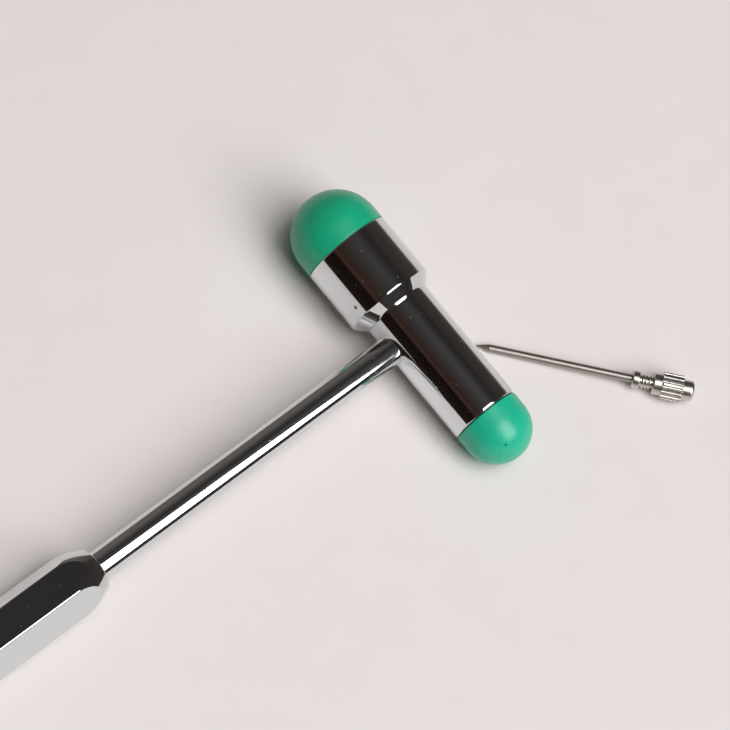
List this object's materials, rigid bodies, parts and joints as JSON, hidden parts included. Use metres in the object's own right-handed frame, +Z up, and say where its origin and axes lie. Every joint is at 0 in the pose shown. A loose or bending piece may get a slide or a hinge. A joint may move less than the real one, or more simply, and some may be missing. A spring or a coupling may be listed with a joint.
{
  "type": "reflex hammer",
  "caption": "Chromed reflex hammer lying on a table: double-ended head with green rubber domes, round stem, hexagon handle with a stored brush, and its needle screwed out.",
  "frame": {"origin": "middle of the whole model's box in plan, on the table that the hammer and its needle lie on", "axes": "+X from the handle to the head, the head's small end towards -Y, +Z up"},
  "size_m": [0.2116, 0.0672, 0.0172],
  "materials": {
    "chrome_plate": "polished",
    "green_rubber": "satin",
    "needle_steel": "drawn",
    "nickel_plate": "bright",
    "nylon_bristle": "matte"
  },
  "bodies": {
    "hammer": {"head_body": "chrome_plate", "large_rubber_tip": "green_rubber", "small_rubber_tip": "green_rubber", "stem": "chrome_plate", "handle": "chrome_plate", "needle_shaft": "needle_steel", "needle_hub": "nickel_plate"},
    "brush": {"brush_ferrule": "nickel_plate", "brush_bristles": "nylon_bristle"},
    "knob": {"brush_knob": "chrome_plate"}
  },
  "joints": [
    {"name": "brush_draw", "type": "slide", "parent": "hammer", "child": "brush", "axis": [-0.9999, 0, -0.015], "range_m": [0, 0.046]},
    {"name": "brush_turn", "type": "hinge", "parent": "brush", "child": "knob", "pos_m": [-0.09776, 0.00394, 0.00514], "axis": [-0.9999, 0, -0.015], "continuous": true}
  ]
}
